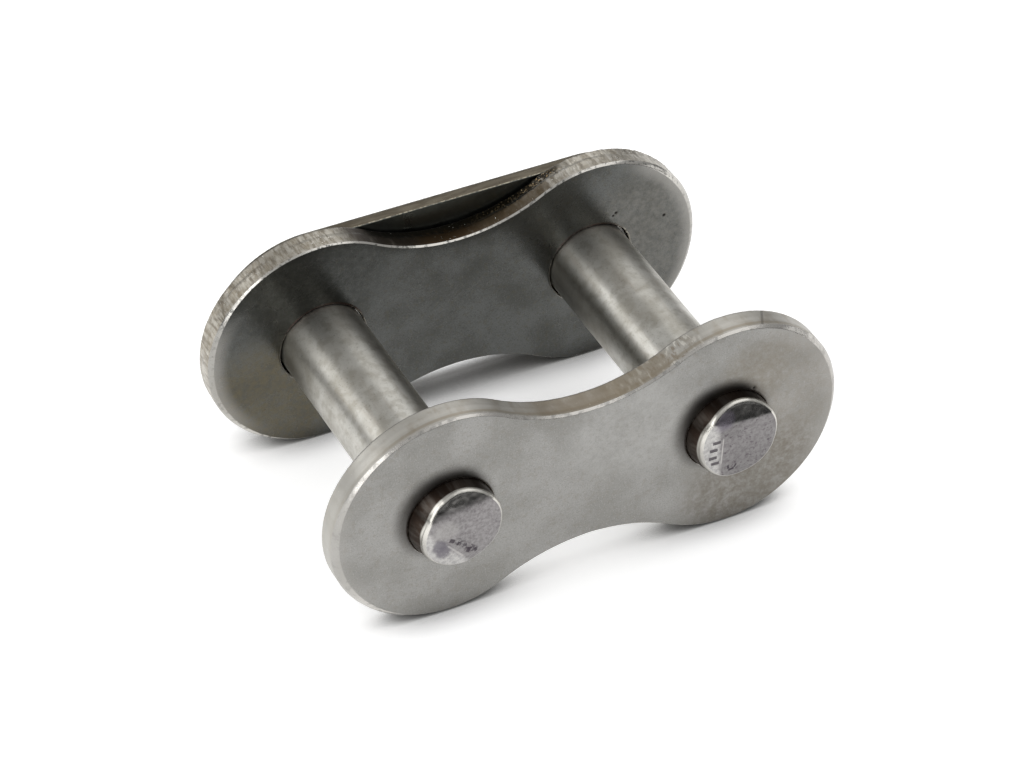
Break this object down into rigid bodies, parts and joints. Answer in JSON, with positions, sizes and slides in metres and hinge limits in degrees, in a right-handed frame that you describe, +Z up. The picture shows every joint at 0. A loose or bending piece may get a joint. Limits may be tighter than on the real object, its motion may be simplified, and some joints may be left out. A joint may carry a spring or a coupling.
{
  "type": "roller chain connecting link",
  "caption": "Roller chain connecting link: waisted side plates on riveted pins, with a detachable plate locked by a spring clip.",
  "frame": {"origin": "middle of the link's footprint, on the surface that the lower edges of its plates stand on", "axes": "+X along the chain, from the left pin to the right pin; +Y along the pins, from the riveted plate to the clip; +Z up"},
  "size_m": [0.0348, 0.024, 0.0154],
  "materials": {
    "plate_steel": "satin, tumbled, slightly oily",
    "pin_steel": "ground and hardened, soft sheen",
    "clip_steel": "dark oiled spring steel"
  },
  "bodies": {
    "pin_link": {"fixed_plate": "plate_steel", "pin_left": "pin_steel", "pin_right": "pin_steel", "spring_clip": "clip_steel"},
    "slip_plate": {"detachable_plate": "plate_steel"}
  },
  "joints": [
    {"name": "plate_slide", "type": "slide", "parent": "pin_link", "child": "slip_plate", "axis": [0, -1, 0], "range_m": [0, 0.0163]}
  ]
}
